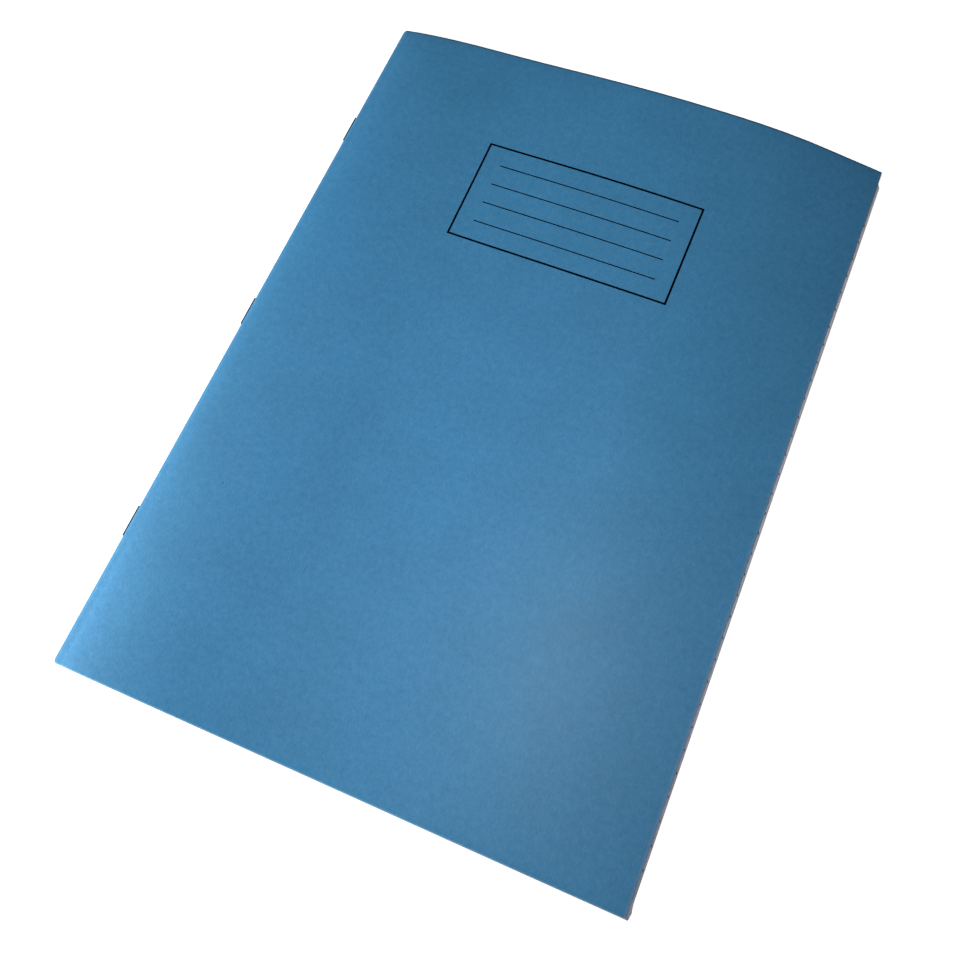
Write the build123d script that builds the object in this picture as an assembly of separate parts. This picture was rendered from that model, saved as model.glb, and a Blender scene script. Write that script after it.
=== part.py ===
from build123d import *

import os

# Stapled A4 exercise book, lying closed on its back cover.
# X runs from the spine to the fore-edge, Y from the foot of the page to its head, and Z up.
# The origin is under the middle of the cover, on the surface that the book lies on.

# Card and paper
page_height = 297.0
cover_width = 210.0  # from the outside of the spine to the fore-edge
cover_thickness = 0.25
sheet_count = 16
paper_thickness = 0.08
leaf_air = 0.012  # between neighbouring leaves where they lie closest

# Folds
fold_reach = 1.5  # straight part of a fold, from its centre to where the leaf begins
foot_rise = 1.8  # how far the springy pages lift the front cover at the foot of the page
head_rise = 8.4  # and at its head, where they stand open
lift_start = 0.45  # where the lift begins to grow, as a share of the way from foot to head
bow_crest = 0.63  # where the lift is greatest, as a share of the way to the fore-edge
bow_columns = 10  # facets across the bow
bow_rows = 4  # and along it, from the start of the lift to the head

# Staples
staple_count = 3
staple_spacing = 93.0
crown_length = 14.0  # over the outside of both legs
clinch_gap = 1.6  # between the two turned-in ends
wire_diameter = 0.5
wire_bend = 0.35  # at the middle of the wire
hole_clearance = 0.03  # round a leg, in the paper that it pierces
core_clearance = 0.08  # between the wire and the innermost sheet
crown_clearance = 0.01  # between the crown and the card

wire_radius = wire_diameter / 2
leaf_pitch = paper_thickness + leaf_air
core_radius = wire_radius + core_clearance
cover_fold_inner = core_radius + sheet_count * leaf_pitch
cover_fold_outer = cover_fold_inner + cover_thickness

fore_edge_x = cover_width / 2
fold_x = cover_fold_outer - cover_width / 2  # the line that every fold bends round
fold_z = cover_fold_outer
leaf_start = fold_x + fold_reach

crown_x = fold_x - cover_fold_outer - crown_clearance - wire_radius
leg_y = crown_length / 2 - wire_radius
staple_ys = [(n - (staple_count - 1) / 2) * staple_spacing for n in range(staple_count)]

leaf_layers = 2 * sheet_count
cover_layer = leaf_layers + 1


def layer_height(layer):
    """Underside of a layer at the fore-edge, counted from the leaf on the back cover."""
    return cover_thickness + leaf_air + (layer - 1) * leaf_pitch


def lift(share):
    """How far the front cover bows up, for a share of the way from foot to head."""
    growth = max(0, share - lift_start) / (1 - lift_start)
    return foot_rise + (head_rise - foot_rise) * growth**3.5


def sheet_fold_inner(sheet):
    """Inner radius of a sheet's fold, the first sheet being the one next to the cover."""
    return core_radius + (sheet_count - sheet) * leaf_pitch


def bow(share):
    """Shape of the bow for a share of the way to the fore-edge: a gentle rise, then a quicker fall."""
    if share < bow_crest:
        return 1 - ((bow_crest - share) / bow_crest) ** 1.8
    return 1 - ((share - bow_crest) / (1 - bow_crest)) ** 3.3


def facets(lines):
    """Flat triangles between neighbouring lines of points."""
    corners = []
    for line, following in zip(lines, lines[1:]):
        for n in range(len(line) - 1):
            corners.append((line[n], following[n], following[n + 1]))
            corners.append((line[n], following[n + 1], line[n + 1]))
    return corners


def bowed_panel(start_z, end_x, layer, thickness):
    """A panel from the fold to its free edge, bowed up as far as the cover's edge and level past it.

    The bow grows from nothing at the back cover to the most at the front cover.
    """
    end_z = layer_height(layer)
    across = [n / bow_columns for n in range(bow_columns + 1)]
    along = [0] + [lift_start + (1 - lift_start) * n / bow_rows for n in range(bow_rows + 1)]
    under = []
    for u in across:
        x = leaf_start + u * (fore_edge_x - leaf_start)
        z = start_z + u * (end_z - start_z)
        rise = bow(u) * layer / cover_layer
        under.append([Vector(x, (v - 0.5) * page_height, z + rise * lift(v)) for v in along])
    if end_x > fore_edge_x:
        under.append([Vector(end_x, p.Y, p.Z) for p in under[-1]])
    over = [[p + Vector(0, 0, thickness) for p in line] for line in under]
    outlines = facets(under) + facets(over)
    for low, high in (
        (under[0], over[0]),
        (under[-1], over[-1]),
        ([line[0] for line in under], [line[0] for line in over]),
        ([line[-1] for line in under], [line[-1] for line in over]),
    ):
        outlines.append(low + high[::-1])
    return Solid(Shell([Face(Wire.make_polygon(points)) for points in outlines]))


def leg_holes():
    """The round holes that the staple legs pierce through every fold."""
    length = leaf_start - crown_x
    with BuildPart() as holes:
        with Locations(*[
            (crown_x + length / 2, y + side * leg_y, fold_z)
            for y in staple_ys
            for side in (-1, 1)
        ]):
            Cylinder(wire_radius + hole_clearance, length, rotation=(0, 90, 0))
    return holes.part


def folded_strip(inner_radius, thickness):
    """The turn of a folded sheet round the spine, with its staple holes."""
    outer_radius = inner_radius + thickness

    def at(x, z):
        return Vector(fold_x + x, fold_z + z)

    with BuildPart() as strip:
        with BuildSketch(Plane.XZ):
            with BuildLine():
                ThreePointArc(at(0, outer_radius), at(-outer_radius, 0), at(0, -outer_radius))
                Polyline(
                    at(0, -outer_radius),
                    at(fold_reach, -outer_radius),
                    at(fold_reach, -inner_radius),
                    at(0, -inner_radius),
                )
                ThreePointArc(at(0, -inner_radius), at(-inner_radius, 0), at(0, inner_radius))
                Polyline(
                    at(0, inner_radius),
                    at(fold_reach, inner_radius),
                    at(fold_reach, outer_radius),
                    at(0, outer_radius),
                )
            make_face()
        extrude(amount=page_height / 2, both=True)
    return strip.part - leg_holes()


def staple(y):
    """A bent wire: crown along the outside of the spine, legs through it, ends turned in."""
    with BuildPart() as wire:
        with BuildLine(Plane.XY.offset(fold_z)) as path:
            FilletPolyline(
                (fold_x, y + clinch_gap / 2),
                (fold_x, y + leg_y),
                (crown_x, y + leg_y),
                (crown_x, y - leg_y),
                (fold_x, y - leg_y),
                (fold_x, y - clinch_gap / 2),
                radius=wire_bend,
            )
        with BuildSketch(Plane(origin=path.line @ 0, z_dir=path.line % 0)):
            Circle(wire_radius)
        sweep()
    return wire.part


def back_cover():
    """The flat half of the cover that the book lies on."""
    width = fore_edge_x - leaf_start
    middle = Pos(leaf_start + width / 2, 0, cover_thickness / 2)
    return middle * Box(width, page_height, cover_thickness)


def front_cover():
    return bowed_panel(fold_z + cover_fold_inner, fore_edge_x, cover_layer, cover_thickness)


def sheet_edge(sheet):
    """Free edge of a sheet: each one lies a leaf further inside the fold, so it stands out as much."""
    return fore_edge_x + sheet * leaf_pitch


def front_leaf(sheet):
    layer = cover_layer - sheet
    return bowed_panel(fold_z + sheet_fold_inner(sheet), sheet_edge(sheet), layer, paper_thickness)


def back_leaf(sheet):
    return bowed_panel(layer_height(sheet), sheet_edge(sheet), sheet, paper_thickness)


sheets = range(1, sheet_count + 1)
nodes = {
    "back_cover": [back_cover()],
    "front_cover": [front_cover()],
    "cover_fold": [folded_strip(cover_fold_inner, cover_thickness)],
    "sheet_folds": [folded_strip(sheet_fold_inner(sheet), paper_thickness) for sheet in sheets],
    "staples": [staple(y) for y in staple_ys],
}
for sheet in sheets:
    nodes[f"sheet_{sheet:02d}_front_leaf"] = [front_leaf(sheet)]
    nodes[f"sheet_{sheet:02d}_back_leaf"] = [back_leaf(sheet)]

os.makedirs("parts", exist_ok=True)
for name, solids in nodes.items():
    export_step(Compound(children=solids), f"parts/{name}.step")
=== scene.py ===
import math

import bpy
import numpy as np
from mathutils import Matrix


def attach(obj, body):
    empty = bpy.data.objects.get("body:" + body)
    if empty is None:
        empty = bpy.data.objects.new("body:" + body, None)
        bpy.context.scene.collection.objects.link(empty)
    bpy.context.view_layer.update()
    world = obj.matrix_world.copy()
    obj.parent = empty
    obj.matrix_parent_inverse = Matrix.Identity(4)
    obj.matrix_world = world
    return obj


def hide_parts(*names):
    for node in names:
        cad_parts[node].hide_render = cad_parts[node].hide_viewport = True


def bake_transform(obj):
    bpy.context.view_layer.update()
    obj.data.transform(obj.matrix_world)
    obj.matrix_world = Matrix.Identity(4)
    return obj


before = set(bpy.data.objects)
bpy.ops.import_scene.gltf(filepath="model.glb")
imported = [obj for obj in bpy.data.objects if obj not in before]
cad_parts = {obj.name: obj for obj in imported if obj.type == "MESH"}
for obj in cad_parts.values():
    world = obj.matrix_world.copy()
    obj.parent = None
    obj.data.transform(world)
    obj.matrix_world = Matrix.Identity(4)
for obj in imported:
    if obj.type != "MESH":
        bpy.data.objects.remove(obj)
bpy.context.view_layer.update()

# Ruled leaves. Sixteen sheets of white writing paper, each folded once, give a front and a back leaf.
# The feint lines are printed on the whole web, so they run off the fore-edge and show there as ticks.
# The springy folds keep the leaves from lying flat, so they bow up, most of all at the head of the page.
MM = 0.001
page_height = 297 * MM
fore_edge = 105 * MM
spine_x = -fore_edge
sheet_count = 16
sheets = range(1, sheet_count + 1)  # from the one next to the cover to the innermost
paper_thickness = 0.08 * MM
leaf_air = 0.012 * MM  # between neighbouring leaves
leaf_pitch = paper_thickness + leaf_air
card_thickness = 0.25 * MM
wire_radius = 0.25 * MM
core_radius = wire_radius + 0.08 * MM  # the innermost fold goes round the turned-in ends of the staples
cover_radius = core_radius + sheet_count * leaf_pitch + card_thickness
fold_x = spine_x + cover_radius  # the line that every fold turns round
fold_z = cover_radius
fold_reach = 1.5 * MM  # from that line to where the leaves begin
leaf_start = fold_x + fold_reach
layer_count = 2 * sheet_count + 1  # the front cover is the last layer


def flat_blank(name, low_x, high_x):
    """A rectangle of sheet stock as high as a page, lying flat."""
    bpy.ops.object.select_all(action="DESELECT")
    bpy.ops.mesh.primitive_plane_add(size=1, location=((low_x + high_x) / 2, 0, 0))
    blank = bpy.context.object
    blank.name = blank.data.name = name
    blank.scale = (high_x - low_x, page_height, 1)
    bpy.ops.object.transform_apply(location=True, rotation=False, scale=True)
    return blank


def divide(blank, across, along, middle=(0, 0), turn=0.0):
    """Cuts the blank's faces at these x and y places from a middle, with the cuts turned if need be."""
    bpy.context.view_layer.objects.active = blank
    cosine, sine = math.cos(turn), math.sin(turn)
    bpy.ops.object.mode_set(mode="EDIT")
    for places, normal in ((across, (cosine, sine, 0)), (along, (-sine, cosine, 0))):
        for place in places:
            point = (middle[0] + place * normal[0], middle[1] + place * normal[1], 0)
            bpy.ops.mesh.select_all(action="SELECT")
            bpy.ops.mesh.bisect(plane_co=point, plane_no=normal)
    bpy.ops.object.mode_set(mode="OBJECT")


def thicken(blank, thickness):
    """Gives a flat blank its thickness, below its upper face, and a crisp rim."""
    bpy.ops.object.modifier_add(type="SOLIDIFY")
    blank.modifiers["Solidify"].thickness = thickness
    blank.modifiers["Solidify"].offset = -1
    bpy.ops.object.modifier_apply(modifier="Solidify")
    bpy.ops.object.shade_smooth_by_angle(angle=math.radians(40))


def copied(piece, name):
    """A copy of a piece, with its own mesh."""
    bpy.ops.object.select_all(action="DESELECT")
    piece.select_set(True)
    bpy.context.view_layer.objects.active = piece
    bpy.ops.object.duplicate()
    copy = bpy.context.object
    copy.name = copy.data.name = name
    return copy


def reshape(piece, shape):
    """Moves every vertex of a piece to where shape takes its x, y and z."""
    points = np.empty(len(piece.data.vertices) * 3)
    piece.data.vertices.foreach_get("co", points)
    points = np.stack(shape(*points.reshape(-1, 3).T), axis=1)
    piece.data.vertices.foreach_set("co", points.ravel())
    piece.data.update()


# The bow rises to a crest between the spine and the fore-edge. It is even near the foot of the page, and
# grows from a little below the middle to the head, where the outer corner of the cover curls up.
bow_crest = 0.63  # as a share of the way to the fore-edge
foot_rise = 2.26 * MM
head_rise = 8.4 * MM
growth_start = 0.45  # as a share of the way from foot to head
curl_height = 1.6 * MM
curl_start = 0.9  # as a share of the way to the fore-edge
curl_foot = 85 * MM

# The bow is uneven: here and there the pages stand further apart or lie closer, over areas this wide.
# The pages are held together at the spine and the fore-edge, so the swells fade out there.
swells = [  # x and y of the middle, spread in x and y, height; all in millimetres
    (-78, -151, 21, 57, 2.2),
    (-3, -131, 21, 38, -1.4),
    (55, 3, 21, 76, 1.5),
    (-28, -32, 27, 41, -1.6),
    (-79, 95, 18, 58, 1.4),
    (11, 123, 34, 73, 1.2),
    (-12, 169, 60, 22, -2.2),
]
spine_fade = 5 * MM
fore_fade = 0.05  # as a share of the way from the fore-edge


def smooth(share):
    """A soft step from 0 to 1."""
    share = np.clip(share, 0, 1)
    return share * share * (3 - 2 * share)


def way_across(x):
    """How far a place is on the way from the start of the leaves to the fore-edge, from 0 to 1."""
    return np.clip((x - leaf_start) / (fore_edge - leaf_start), 0, 1)


def bow(x, y, layer):
    """How far a layer bows up: a gentle rise from the spine, then a quicker fall to the fore-edge."""
    u = way_across(x)
    shape = 1 - np.where(u < bow_crest, np.abs(bow_crest - u) / bow_crest, 0) ** 1.8
    shape -= np.where(u > bow_crest, np.abs(u - bow_crest) / (1 - bow_crest), 0) ** 3
    growth = np.clip(y / page_height + 0.5 - growth_start, 0, None) / (1 - growth_start)
    rise = shape * (foot_rise + (head_rise - foot_rise) * growth**3.5)
    free = smooth((1 - u) / fore_fade) * (1 - np.exp(-np.clip(x - leaf_start, 0, None) / spine_fade))
    for middle_x, middle_y, wide, long, height in swells:
        away = ((x / MM - middle_x) / wide) ** 2 + ((y / MM - middle_y) / long) ** 2
        rise = rise + free * height * MM * np.exp(-away / 2)
    curl = curl_height * np.clip((u - curl_start) / (1 - curl_start), 0, 1) ** 1.5
    curl = curl * smooth((y - curl_foot) / (page_height / 2 - curl_foot))
    share = layer / layer_count
    return rise * share + curl * share**14  # only the topmost layers curl


crease = 0.6  # the share of its height that the upper half of the fold loses at the spine
crease_reach = 2.5 * MM


def pinched(x, z):
    """The upper half of the fold is creased sharp, so the cover comes down to the spine at a slant."""
    pinch = crease * np.exp(-np.clip(x - spine_x, 0, None) / crease_reach)
    return np.where(z > fold_z, fold_z + (z - fold_z) * (1 - pinch), z)


def layer_height(layer):
    """Underside of a layer at the fore-edge, counted from the leaf on the back cover."""
    return card_thickness + leaf_air + (layer - 1) * leaf_pitch


def layer_z(x, y, layer, start_z):
    """Underside of a layer that leaves the fold at start_z."""
    return start_z + way_across(x) * (layer_height(layer) - start_z) + bow(x, y, layer)


def fold_inner(sheet):
    """Inner radius of a sheet's fold."""
    return core_radius + (sheet_count - sheet) * leaf_pitch


def linear(hex_colour):
    """An sRGB hex colour as linear red, green, blue and alpha."""
    parts = [int(hex_colour[n : n + 2], 16) / 255 for n in (1, 3, 5)]
    return [p / 12.92 if p <= 0.04045 else ((p + 0.055) / 1.055) ** 2.4 for p in parts] + [1.0]


def set_sockets(material, target, sockets):
    """Gives the sockets of a node their values, or links them to other nodes."""
    for key, value in sockets.items():
        if isinstance(value, bpy.types.NodeSocket):
            material.node_tree.links.new(value, target.inputs[key])
        else:
            target.inputs[key].default_value = value


def node(material, kind, sockets, **settings):
    """Adds a node with its settings and links, and returns its outputs.

    Sockets go by name, or by number where names repeat. In a Map Range, 0 is the value, 1 and 2 are what
    it runs between, and 3 and 4 what that becomes. In a Mix of colours, 0 is the share of 7 in 6.
    """
    made = material.node_tree.nodes.new(kind)
    for name, value in settings.items():
        setattr(made, name, value)
    set_sockets(material, made, sockets)
    return made.outputs


def new_material(name):
    """A material, and its shader."""
    material = bpy.data.materials.new(name)
    material.use_nodes = True
    return material, material.node_tree.nodes["Principled BSDF"]


# Uncoated writing paper, 70 g per square metre: matte, with the faint clouds of its fibres a few
# millimetres across, and a tooth of about 0.4 mm that only shows in raking light.
writing_paper, bsdf = new_material("uncoated_writing_paper")
leaf_size = (208, 297, 1)  # turns the UV map into millimetres
sheet_place = node(writing_paper, "ShaderNodeTexCoord", {})["UV"]
sheet_place = node(
    writing_paper, "ShaderNodeMapping", {"Vector": sheet_place, "Scale": leaf_size}
)["Vector"]
clouds = node(
    writing_paper, "ShaderNodeTexNoise", {"Vector": sheet_place, "Scale": 1 / 3.5, "Detail": 4.0}
)["Fac"]
tooth = node(
    writing_paper, "ShaderNodeTexNoise", {"Vector": sheet_place, "Scale": 1 / 0.4, "Detail": 2.0}
)["Fac"]
tint = node(
    writing_paper,
    "ShaderNodeMix",
    {0: clouds, 6: linear("#E9E4DE"), 7: linear("#F3EFE9")},
    data_type="RGBA",
)[2]
grain = node(
    writing_paper, "ShaderNodeBump", {"Height": tooth, "Strength": 0.25, "Distance": 0.02 * MM}
)["Normal"]
set_sockets(
    writing_paper,
    bsdf,
    {"Base Color": tint, "Normal": grain, "Roughness": 0.88, "Specular IOR Level": 0.3, "IOR": 1.5},
)


def mottled(name, low, high, size, roughness, specular=0.2):
    """A matte finish that wanders between two colours, over patches of this x, y and z size."""
    material, bsdf = new_material(name)
    place = node(material, "ShaderNodeTexCoord", {})["Object"]
    place = node(
        material, "ShaderNodeMapping", {"Vector": place, "Scale": [1 / (d * MM) for d in size]}
    )["Vector"]
    patches = node(
        material, "ShaderNodeTexNoise", {"Vector": place, "Scale": 1.0, "Detail": 2.0}
    )["Fac"]
    strength = node(material, "ShaderNodeMapRange", {0: patches, 1: 0.3, 2: 0.7})[0]
    colour = node(
        material, "ShaderNodeMix", {0: strength, 6: linear(low), 7: linear(high)}, data_type="RGBA"
    )[2]
    set_sockets(
        material,
        bsdf,
        {"Base Color": colour, "Roughness": roughness, "Specular IOR Level": specular},
    )
    return material


# Feint ruling ink and margin ink, rolled on thin so that they dry as matte as the paper and thin out
# here and there. The trimmed edges are painted grey in long streaks, greyer towards the foot: this is
# partly dirt from thumbs where the pages are turned and partly painted shade between the leaves. The ink
# on the trimmed edges is darker than on the faces.
feint_ink = mottled("feint_ruling_ink", "#566B91", "#6D81A4", (2, 2, 2), 0.85)
margin_ink = mottled("margin_ruling_ink", "#C2626D", "#CF7A83", (2, 2, 2), 0.85)
cut_edge = mottled("trimmed_paper_edge", "#C8C6CC", "#ECE9EC", (0.25, 6, 0.25), 0.9)
inked_edge = mottled("ink_on_trimmed_edge", "#1C2436", "#303B52", (0.5, 0.5, 0.5), 0.9)
bsdf = cut_edge.node_tree.nodes["Principled BSDF"]
clean_edge = bsdf.inputs["Base Color"].links[0].from_socket
edge_place = node(cut_edge, "ShaderNodeTexCoord", {})["Object"]
edge_up = node(cut_edge, "ShaderNodeSeparateXYZ", {"Vector": edge_place})["Y"]
# Painted shade with thumb dirt: the trimmed edges are painted greyer towards the foot.
thumbed_and_shaded = node(
    cut_edge,
    "ShaderNodeMapRange",
    {0: edge_up, 1: -page_height / 2, 2: page_height / 2, 3: 0.55, 4: 0.0},
)[0]
greyed_and_shaded = node(
    cut_edge, "ShaderNodeMix", {0: thumbed_and_shaded, 6: clean_edge, 7: linear("#888B98")}, data_type="RGBA"
)[2]
set_sockets(cut_edge, bsdf, {"Base Color": greyed_and_shaded})


def between(value, places, width):
    """Whether a value lies on one of the lines of this width."""
    return any(abs(value - place) < width / 2 for place in places)


def both_edges(places, width):
    """The two edges of each line of this width."""
    return [place + side * width / 2 for place in places for side in (-1, 1)]


def print_feint(blank, finishes):
    """Gives a blank its finishes, paper and feint ink first, and inks the faces on the feint lines."""
    for finish in finishes:
        blank.data.materials.append(finish)
    for face in blank.data.polygons:
        face.material_index = int(between(face.center.y, feint_lines, feint_width))


feint_width = 0.3 * MM
feint_pitch = 8 * MM
first_feint = 15.55 * MM - page_height / 2
feint_lines = [first_feint + n * feint_pitch for n in range(33)]
feint_edges = both_edges(feint_lines, feint_width)
margin_width = 0.35 * MM
recto_margin = leaf_start + 24 * MM
verso_margin = fore_edge - 30 * MM
margin_edges = both_edges((recto_margin, verso_margin), margin_width)

# The leaf is cut closely where it bends beside the fold, evenly over the bow, and closely again at the
# fore-edge and at the two corners that are thumbed: worn back at the head, bent out near the foot.
bend_reach = 15 * MM
bend_places = [leaf_start + d * MM for d in (0.8, 1.8, 3, 4.5, 6.5, 9, 12)] + [leaf_start + bend_reach]
bow_places = [leaf_start + (fore_edge - leaf_start) * n / 20 for n in range(2, 20)]
rim_places = [fore_edge - d * MM for d in (0, 0.3, 2, 5)]
worn_top = 145.2 * MM
worn_length = 1.5 * MM
worn_rows = [worn_top, worn_top - 0.8 * MM, worn_top - worn_length]
bent_middle = -145.9 * MM
bent_spread = 1.3 * MM
bent_rows = [bent_middle + 2.9 * MM, bent_middle + bent_spread, bent_middle, bent_middle - bent_spread]

leaf = flat_blank("leaf", leaf_start, fore_edge + sheet_count * leaf_pitch)
divide(leaf, bend_places + bow_places + rim_places + margin_edges, feint_edges + worn_rows + bent_rows)
print_feint(leaf, (writing_paper, feint_ink, margin_ink, cut_edge, inked_edge))
margin_slot = 2
edge_slot = 3
inked_edge_slot = 4
thicken(leaf, paper_thickness)
for face in leaf.data.polygons:
    margin = recto_margin if face.normal.z > 0.5 else verso_margin
    if abs(face.normal.z) < 0.5 or face.center.x > fore_edge:
        face.material_index = inked_edge_slot if face.material_index else edge_slot
    elif between(face.center.x, [margin], margin_width):
        face.material_index = margin_slot

ruled_reach = 140 * MM  # from the middle of the page to past its last line
step_share = 0.72  # of a leaf's pitch, by which it stands out past the one outside it, at mid height
step_growth = 0.34  # from foot to head
bent_share = 0.55  # how much further it stands out where it is bent
inked_sheets = 6
ink_run = 0.22 * MM
hair = 0.01 * MM  # narrower than the gap between any two cuts


def slipped(y, sheet):
    """Moves the print of a sheet a little out of step with the others, and leaves the page's ends."""
    slip = (0.05 + 0.03 * sheet) * MM * math.sin(2.4 * sheet * sheet)
    return np.where(np.abs(y) < ruled_reach, y + slip, y)


def laid_leaf(name, sheet, layer, start_z, node_name):
    """A copy of the leaf in its place in the stack.

    The leaves stand out past the cover, one further than the other, and less at the foot than at the
    head. The outer sheets were at the top of the pile when the ink was wet, so only on them has it run
    out over the trimmed edge.
    """
    made = copied(leaf, name)
    inked = sheet <= inked_sheets
    if not inked:
        made.data.materials[inked_edge_slot] = cut_edge

    def shape(x, y, z):
        off_line = (y - first_feint + feint_pitch / 2) % feint_pitch - feint_pitch / 2
        run_out = inked & (x > fore_edge - hair) & (np.abs(off_line) < feint_width)
        step = leaf_pitch * (step_share + step_growth * y / page_height)
        step = step * (1 + bent_share * np.exp(-(((y - bent_middle) / bent_spread) ** 2)))
        step = step * smooth((worn_top - y) / worn_length)
        x = np.where(x > fore_edge + hair, fore_edge + sheet * step, x)
        y = slipped(np.where(run_out, y + ink_run * np.sign(off_line), y), sheet)
        return x, y, pinched(x, z + paper_thickness + layer_z(x, y, layer, start_z))

    reshape(made, shape)
    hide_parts(node_name)
    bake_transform(made)


for sheet in sheets:
    laid_leaf(
        f"leaf_{sheet:02d}_front",
        sheet,
        layer_count - sheet,
        fold_z + fold_inner(sheet),
        f"sheet_{sheet:02d}_front_leaf",
    )
    laid_leaf(
        f"leaf_{sheet:02d}_back",
        sheet,
        sheet,
        layer_height(sheet),
        f"sheet_{sheet:02d}_back_leaf",
    )
bpy.data.objects.remove(leaf)

# Sheet folds. The narrow strip of each sheet that turns round the spine, one inside the other.
# It is the same ruled paper as the leaves.
strip_quarter = math.pi / 2 * MM  # a quarter turn of the flat strip, at a radius of 1 mm
foot_round = 2 * MM
head_round = 0.7 * MM
round_fade = 2.5 * MM


def quarter_cuts(quarter, steps):
    """Cuts for a quarter turn on each side of the fold's middle line."""
    return [quarter * n / steps for n in range(-steps, steps + 1)]


strip = flat_blank("strip", -strip_quarter - fold_reach, strip_quarter + fold_reach)
divide(strip, quarter_cuts(strip_quarter, 8), feint_edges)
print_feint(strip, (writing_paper, feint_ink))
thicken(strip, paper_thickness)


def worn_corner(x, y):
    """Where handling has rounded off the two ends of the spine, a little more at the foot."""
    radius = np.where(y < 0, foot_round, head_round)
    inset = np.clip(x - spine_x, 0, radius)
    worn = radius - np.sqrt(radius**2 - (radius - inset) ** 2)
    worn = worn * np.exp((np.abs(y) - page_height / 2) / round_fade)
    return y - np.sign(y) * worn


def fold_round(t, depth, outer_radius, quarter):
    """Where a point of a flat sheet goes when it turns round the spine, t from the fold's middle line."""
    angle = np.clip(t / quarter, -1, 1) * math.pi / 2
    past = np.clip(np.abs(t) - quarter, 0, None)
    radius = outer_radius - depth
    return fold_x - radius * np.cos(angle) + past, fold_z + radius * np.sin(angle)


def laid_fold(sheet):
    """A copy of the strip, turned round the spine inside the folds of the sheets outside it."""
    made = copied(strip, f"fold_{sheet:02d}")
    inner = fold_inner(sheet)

    def shape(t, y, z):
        x, z = fold_round(t, -z, inner + paper_thickness, strip_quarter)
        return x, worn_corner(x, slipped(y, sheet)), pinched(x, z)

    reshape(made, shape)
    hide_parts("sheet_folds")
    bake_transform(made)


for sheet in sheets:
    laid_fold(sheet)
bpy.data.objects.remove(strip)

# Cover. One piece of dyed manila card, printed with a ruled name box, folded round the sheets and
# trimmed with them. The blade rolls the card's outer edge over, by about a fifth of a millimetre at the
# head and foot and less at the fore-edge.
cover_quarter = cover_radius * math.pi / 2
cover_reach = cover_quarter + fore_edge - fold_x  # half the width of the flat card
to_blank = cover_quarter - fold_x  # from a place on the front cover to the same place on the flat card

# Blue manila card: pulp dyed all through and left uncoated, so it is matte, with soft clouds of dye,
# short paler and darker fibres, and now and then a dark speck of bark. It is worn grey at the fore-edge.
# A painted sheen makes it paler beside the lower spine, and its foot edge is painted paler, partly frayed
# fibres and partly a painted highlight. Painted shade darkens its head edge and the turn of the fold.
manila_card, bsdf = new_material("blue_manila_card")
card_reach = cover_reach / MM
card_height = page_height / MM
card_size = (2 * card_reach, card_height, 1)  # turns the UV map into millimetres
card_place = node(manila_card, "ShaderNodeTexCoord", {})["UV"]
card_place = node(
    manila_card, "ShaderNodeMapping", {"Vector": card_place, "Scale": card_size}
)["Vector"]
dye = node(
    manila_card, "ShaderNodeTexNoise", {"Vector": card_place, "Scale": 1 / 22, "Detail": 3.0}
)["Fac"]
clouded = node(manila_card, "ShaderNodeMapRange", {0: dye, 1: 0.3, 2: 0.7, 3: 0.96, 4: 1.04})[0]
mottle = node(
    manila_card, "ShaderNodeTexNoise", {"Vector": card_place, "Scale": 1 / 2.6, "Detail": 3.0}
)["Fac"]
card_blue = node(
    manila_card,
    "ShaderNodeMix",
    {0: mottle, 6: linear("#317FB0"), 7: linear("#4C8FBC")},
    data_type="RGBA",
)[2]
fibre_place = node(
    manila_card, "ShaderNodeMapping", {"Vector": card_place, "Scale": (1.6, 0.45, 1)}
)["Vector"]
fibres = node(
    manila_card,
    "ShaderNodeTexNoise",
    {"Vector": fibre_place, "Scale": 1.0, "Detail": 2.0, "Distortion": 1.2},
)["Fac"]
fibre_tone = node(manila_card, "ShaderNodeMapRange", {0: fibres, 1: 0.25, 2: 0.75, 3: 0.9, 4: 1.1})[0]
specks = node(
    manila_card, "ShaderNodeTexVoronoi", {"Vector": card_place, "Scale": 1 / 7, "Randomness": 1.0}
)
speck_size = node(manila_card, "ShaderNodeSeparateColor", {"Color": specks["Color"]})["Red"]
speck_reach = node(
    manila_card, "ShaderNodeMapRange", {0: speck_size, 1: 0.9, 2: 1.0, 3: 0.0, 4: 0.055}
)[0]
speck = node(
    manila_card, "ShaderNodeMath", {0: specks["Distance"], 1: speck_reach}, operation="LESS_THAN"
)[0]
speck_tone = node(manila_card, "ShaderNodeMapRange", {0: speck, 3: 1.0, 4: 0.55})[0]
tone = node(manila_card, "ShaderNodeMath", {0: clouded, 1: fibre_tone}, operation="MULTIPLY")[0]
tone = node(manila_card, "ShaderNodeMath", {0: tone, 1: speck_tone}, operation="MULTIPLY")[0]
card_colour = node(
    manila_card, "ShaderNodeVectorMath", {0: card_blue, "Scale": tone}, operation="SCALE"
)["Vector"]
pale_fibres = node(
    manila_card, "ShaderNodeTexNoise", {"Vector": fibre_place, "Scale": 1 / 0.55, "Detail": 2.0}
)["Fac"]
pale_share = node(
    manila_card, "ShaderNodeMapRange", {0: pale_fibres, 1: 0.4, 2: 0.75, 3: 0.0, 4: 0.09}
)[0]
card_colour = node(
    manila_card,
    "ShaderNodeMix",
    {0: pale_share, 6: card_colour, 7: linear("#A4C3D8")},
    data_type="RGBA",
)[2]
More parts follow.
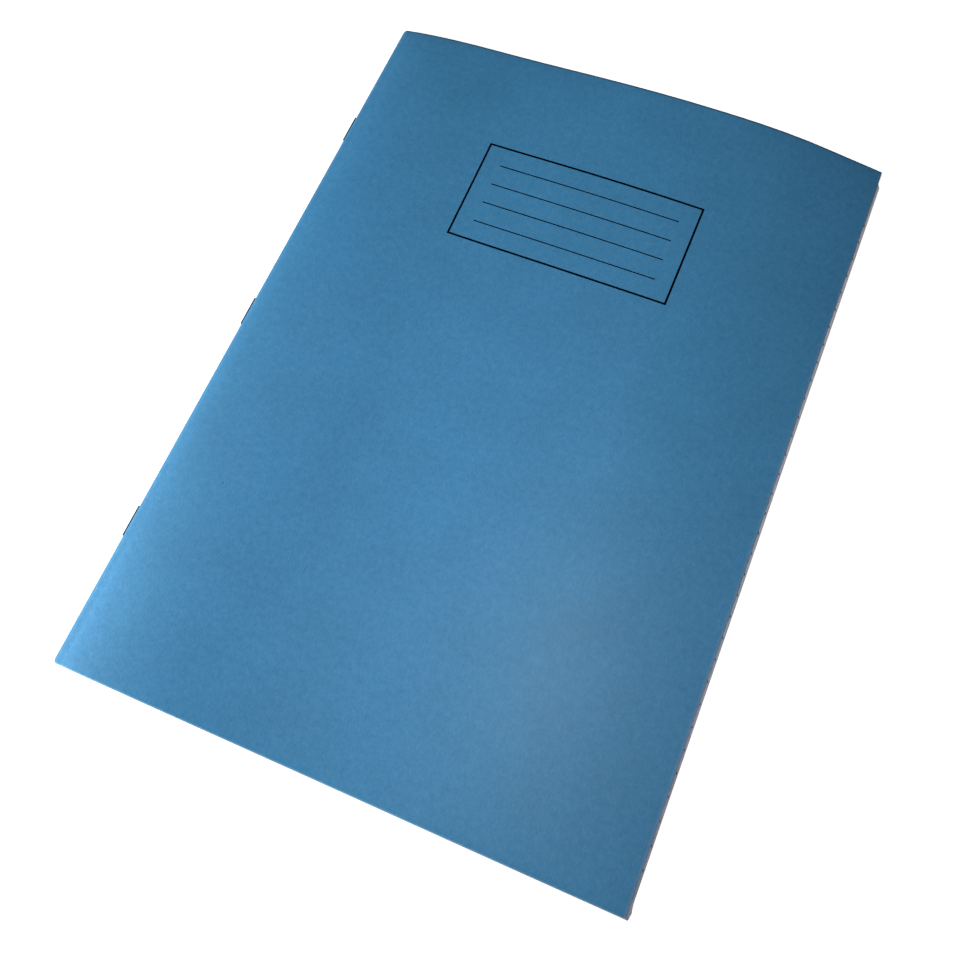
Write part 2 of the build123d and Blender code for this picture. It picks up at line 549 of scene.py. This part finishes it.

# Wear, painted light and painted shade, by the distance in millimetres from the foot of the card and from
# the middle of its fold.
card_axes = node(manila_card, "ShaderNodeSeparateXYZ", {"Vector": card_place})
from_foot = card_axes["Y"]
off_middle = node(
    manila_card, "ShaderNodeMath", {0: card_axes["X"], 1: card_reach}, operation="SUBTRACT"
)[0]
from_fold = node(manila_card, "ShaderNodeMath", {0: off_middle}, operation="ABSOLUTE")[0]
# Paler along the foot edge: partly frayed fibres, partly a painted highlight.
foot_wear_and_highlight = node(
    manila_card, "ShaderNodeMapRange", {0: from_foot, 1: 0.15, 2: 0.6, 3: 0.7, 4: 0.0}
)[0]
# Painted shade: the head edge of the card is painted dark.
head_painted_shade = node(
    manila_card,
    "ShaderNodeMapRange",
    {0: from_foot, 1: card_height - 1.0, 2: card_height - 0.4, 3: 0.0, 4: 0.85},
)[0]
fore_wear = node(
    manila_card,
    "ShaderNodeMapRange",
    {0: from_fold, 1: card_reach - 1.3, 2: card_reach, 3: 0.0, 4: 0.6},
)[0]
handled = node(manila_card, "ShaderNodeMapRange", {0: from_foot, 1: 60.0, 2: 285.0, 3: 1.0, 4: 0.3})[0]
fore_wear = node(manila_card, "ShaderNodeMath", {0: fore_wear, 1: handled}, operation="MULTIPLY")[0]
# Painted sheen: the card is painted paler beside the spine, most of all low down.
spine_painted_sheen = node(
    manila_card,
    "ShaderNodeMapRange",
    {0: from_fold, 1: 3.0, 2: 60.0, 3: 0.06, 4: 0.0},
    interpolation_type="SMOOTHSTEP",
)[0]
low_down = node(manila_card, "ShaderNodeMapRange", {0: from_foot, 1: 0.0, 2: 200.0, 3: 1.0, 4: 0.0})[0]
spine_painted_sheen = node(manila_card, "ShaderNodeMath", {0: spine_painted_sheen, 1: low_down}, operation="MULTIPLY")[0]
# Painted shade: the turn of the fold is painted darker.
fold_painted_shade = node(
    manila_card, "ShaderNodeMapRange", {0: from_fold, 1: 1.9, 2: 3.2, 3: 0.55, 4: 0.0}
)[0]
patchy = node(manila_card, "ShaderNodeMapRange", {0: pale_fibres, 1: 0.3, 2: 0.6, 3: 0.4, 4: 1.0})[0]
# Each mask mixes in its colour: real wear at the fore-edge, and painted sheen, highlight and shade.
for wear_and_light, stain_and_light in (
    (spine_painted_sheen, "#D8DEE0"),
    (foot_wear_and_highlight, "#A5CBE2"),
    (fore_wear, "#A4A9BC"),
    (head_painted_shade, "#0C2C46"),
    (fold_painted_shade, "#1E5478"),
):
    share = node(manila_card, "ShaderNodeMath", {0: wear_and_light, 1: patchy}, operation="MULTIPLY")[0]
    card_colour = node(
        manila_card, "ShaderNodeMix", {0: share, 6: card_colour, 7: linear(stain_and_light)}, data_type="RGBA"
    )[2]
card_grain = node(
    manila_card, "ShaderNodeTexNoise", {"Vector": card_place, "Scale": 1 / 0.6, "Detail": 3.0}
)["Fac"]
card_bump = node(
    manila_card, "ShaderNodeBump", {"Height": card_grain, "Strength": 0.3, "Distance": 0.05 * MM}
)["Normal"]
set_sockets(
    manila_card,
    bsdf,
    {
        "Base Color": card_colour,
        "Normal": card_bump,
        "Roughness": 0.5,
        "Specular IOR Level": 0.3,
        "IOR": 1.5,
    },
)

# Black printing ink, laid on thin: it sinks into the card and dries dull, with a cold cast, and it
# thins out here and there.
printing_ink = mottled("black_printing_ink", "#010509", "#040C18", (1.5, 1.5, 1.5), 0.6, 0.03)

# The card is cut closely at its rolled edges, its fold and the bend beside it. The back panel is flat.
roll_cuts = [d * MM for d in (0.12, 0.28, 0.5, 0.8)]
roll_width = roll_cuts[-1]
end_roll_depth = 0.22 * MM
side_roll_depth = 0.06 * MM
row_pitch = 9 * MM
panel_places = [x + to_blank for x in [leaf_start] + bend_places + bow_places]
panel_places += [cover_reach - d * MM for d in (5, 2)]
edge_places = [side * (cover_reach - d) for d in roll_cuts for side in (-1, 1)]
back_places = [-cover_quarter - fold_reach - 30 * n * MM for n in range(7)]
row_places = [n * row_pitch for n in range(-16, 17)]
row_places += [side * (page_height / 2 - d) for d in roll_cuts for side in (-1, 1)]
cover = flat_blank("cover", -cover_reach, cover_reach)
fold_places = quarter_cuts(cover_quarter, 12)
divide(cover, fold_places + panel_places + edge_places + back_places, row_places)

# The name box is printed a quarter of a degree out of square. Its sizes are between its lines' middles.
box_middle = (to_blank - 0.12 * MM, 81.24 * MM)
box_turn = math.radians(-0.25)
box_width = 90.08 * MM
box_height = 44.36 * MM
box_line = 0.87 * MM
half_width = (box_width + box_line) / 2
half_height = (box_height + box_line) / 2
rule_line = 0.5 * MM
rule_start = -37.6 * MM
rule_end = 38 * MM
rules = [y * MM for y in (13.62, 4.57, -4.39, -13.49)]
divide(
    cover,
    [-half_width, box_line - half_width, half_width - box_line, half_width, rule_start, rule_end],
    [-half_height, box_line - half_height, half_height - box_line, half_height]
    + both_edges(rules, rule_line),
    box_middle,
    box_turn,
)
for finish in (manila_card, printing_ink):
    cover.data.materials.append(finish)
cosine, sine = math.cos(box_turn), math.sin(box_turn)
for face in cover.data.polygons:
    x, y = face.center.x - box_middle[0], face.center.y - box_middle[1]
    across, up = cosine * x + sine * y, cosine * y - sine * x
    inside = abs(across) < half_width and abs(up) < half_height
    on_line = abs(across) > half_width - box_line or abs(up) > half_height - box_line
    on_rule = rule_start < across < rule_end and between(up, rules, rule_line)
    face.material_index = int(inside and (on_line or on_rule))
thicken(cover, card_thickness)


def rolled(inset, depth):
    """How far the outer face is rolled down at this distance from a trimmed edge."""
    return depth * np.clip(1 - inset / roll_width, 0, 1) ** 2


def folded_cover(t, y, z):
    """The flat card folded round the sheets, with its edges rolled and its front half bowed."""
    side_roll = rolled(cover_reach - np.abs(t), side_roll_depth)
    end_roll = rolled(page_height / 2 - np.abs(y), end_roll_depth)
    depth = np.where(z > -card_thickness / 2, np.maximum(side_roll, end_roll), card_thickness)
    x, z = fold_round(t, depth, cover_radius, cover_quarter)
    front = layer_z(x, y, layer_count, fold_z + cover_radius - card_thickness)
    z = np.where(t > cover_quarter, front + card_thickness - depth, z)
    z = np.where(t < -cover_quarter, depth, z)
    return x, worn_corner(x, y), pinched(x, z)


reshape(cover, folded_cover)
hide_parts("front_cover", "back_cover", "cover_fold")
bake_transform(cover)

# Staples. Three lengths of round galvanised wire driven through the fold from outside, with the
# crown lying along the spine and the two ends turned in flat over the innermost sheet.
staple_spacing = 93 * MM
crown_length = 14 * MM
wire_bend = 0.7 * MM
clinch_end = 0.8 * MM  # from the middle of the staple to each turned-in end
crown_gap = 0.01 * MM  # between the crown and the card
leg_y = crown_length / 2 - wire_radius
crown_x = spine_x - crown_gap - wire_radius

# Drawn steel wire with a dull zinc coat, coloured a dark grey, with fine streaks along its length.
staple_wire, bsdf = new_material("galvanised_staple_wire")
streak_width = MM / 9
streak_length = 10 * streak_width
streak_scale = (1 / streak_width, 1 / streak_length, 1 / streak_width)
wire_place = node(staple_wire, "ShaderNodeTexCoord", {})["Object"]
wire_place = node(
    staple_wire, "ShaderNodeMapping", {"Vector": wire_place, "Scale": streak_scale}
)["Vector"]
streaks = node(
    staple_wire, "ShaderNodeTexNoise", {"Vector": wire_place, "Scale": 1.0, "Detail": 2.0}
)["Fac"]
zinc = node(
    staple_wire,
    "ShaderNodeMix",
    {0: streaks, 6: linear("#1C1E22"), 7: linear("#3A3D42")},
    data_type="RGBA",
)[2]
dull = node(staple_wire, "ShaderNodeMapRange", {0: streaks, 3: 0.34, 4: 0.5})[0]
set_sockets(staple_wire, bsdf, {"Base Color": zinc, "Roughness": dull, "Metallic": 1.0})

bpy.ops.object.select_all(action="DESELECT")
bpy.ops.mesh.primitive_circle_add(
    vertices=16,
    radius=wire_radius,
    fill_type="NGON",
    location=(fold_x, clinch_end, fold_z),
    rotation=(math.pi / 2, 0, 0),
)
staple = bpy.context.object
bpy.ops.object.transform_apply(location=True, rotation=True, scale=False)


def run_on(x, y):
    """Draws the wire on, straight."""
    bpy.ops.mesh.extrude_region_move(TRANSFORM_OT_translate={"value": (x, y, 0)})


def turn_left(x, y):
    """Bends the wire by a right angle round a point beside its end."""
    bpy.ops.mesh.spin(steps=6, angle=math.pi / 2, center=(x, y, fold_z), axis=(0, 0, 1))


bpy.ops.object.mode_set(mode="EDIT")
bpy.ops.mesh.select_all(action="SELECT")
bend_y = leg_y - wire_bend
leg_run = fold_x - crown_x - 2 * wire_bend
run_on(0, bend_y - clinch_end)
turn_left(fold_x - wire_bend, bend_y)
run_on(-leg_run, 0)
turn_left(crown_x + wire_bend, bend_y)
run_on(0, -2 * bend_y)
turn_left(crown_x + wire_bend, -bend_y)
run_on(leg_run, 0)
turn_left(fold_x - wire_bend, -bend_y)
run_on(0, bend_y - clinch_end)
bpy.ops.mesh.select_all(action="SELECT")
bpy.ops.mesh.normals_make_consistent(inside=False)
bpy.ops.object.mode_set(mode="OBJECT")
bpy.ops.object.shade_smooth_by_angle(angle=math.radians(50))
staple.data.materials.append(staple_wire)
for name, place in (("foot", -staple_spacing), ("middle", 0), ("head", staple_spacing)):
    made = copied(staple, f"staple_{name}")
    reshape(made, lambda x, y, z: (x, y + place, z))
    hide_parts("staples")
    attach(made, "spine")
bpy.data.objects.remove(staple)

# Setting: a white table top that keeps the book's soft shadow, a window at the spine side of the
# foot, a pale wall opposite that fills the shade, a weaker light overhead, and the camera above the
# lower half of the cover.
table_gap = 0.05 * MM  # keeps the table's face and the card's apart
bpy.ops.mesh.primitive_plane_add(size=6, location=(0, 0, -table_gap))
floor = bpy.context.object
floor.name = "table_top"
table_white, bsdf = new_material("white_table_top")
rays = node(table_white, "ShaderNodeLightPath", {})
seen = node(
    table_white,
    "ShaderNodeMath",
    {0: rays["Is Camera Ray"], 1: rays["Is Glossy Ray"]},
    operation="MAXIMUM",
)[0]
seen = node(
    table_white, "ShaderNodeMath", {0: seen, 1: rays["Is Transmission Ray"]}, operation="MAXIMUM"
)[0]
glow = node(table_white, "ShaderNodeMath", {0: seen, 1: 0.8}, operation="MULTIPLY")[0]
set_sockets(
    table_white,
    bsdf,
    {
        "Base Color": linear("#F4F4F4"),
        "Roughness": 0.9,
        "Specular IOR Level": 0.0,
        "Emission Color": (1, 1, 1, 1),
        "Emission Strength": glow,
    },
)
floor.data.materials.append(table_white)

world = bpy.data.worlds.new("studio")
world.use_nodes = True
bpy.context.scene.world = world
backdrop = world.node_tree.nodes["Background"]
rays = node(world, "ShaderNodeLightPath", {})
seen = node(
    world,
    "ShaderNodeMath",
    {0: rays["Is Camera Ray"], 1: rays["Is Transmission Ray"]},
    operation="MAXIMUM",
)[0]
bright = node(world, "ShaderNodeMapRange", {0: seen, 3: 0.05, 4: 1.0})[0]
set_sockets(world, backdrop, {"Color": (1, 1, 1, 1), "Strength": bright})


def soft_lamp(name, place, radius, watts):
    """A frosted globe."""
    bpy.ops.object.light_add(type="POINT", location=place, radius=radius)
    lamp = bpy.context.object
    lamp.name = name
    lamp.data.energy = watts
    return lamp


window = soft_lamp("window", (-0.468, -0.24, 0.11), 0.06, 16.0)
wall = soft_lamp("pale_wall", (0.42, 0.42, 0.02), 0.1, 1.4)
for lamp in (window, wall):
    lamp.visible_glossy = False  # both are too wide and soft to glint
soft_lamp("ceiling", (0.048, -0.048, 0.313), 0.06, 1.85)

bpy.ops.object.camera_add(
    location=(0.06712, -0.14122, 0.34431),
    rotation=[math.radians(a) for a in (20.077, 2.217, 22.821)],
)
camera = bpy.context.object
camera.data.sensor_width = 36
camera.data.lens = 37.619
camera.data.clip_start = 0.01
bpy.context.scene.camera = camera
bpy.context.scene.view_settings.view_transform = "Standard"
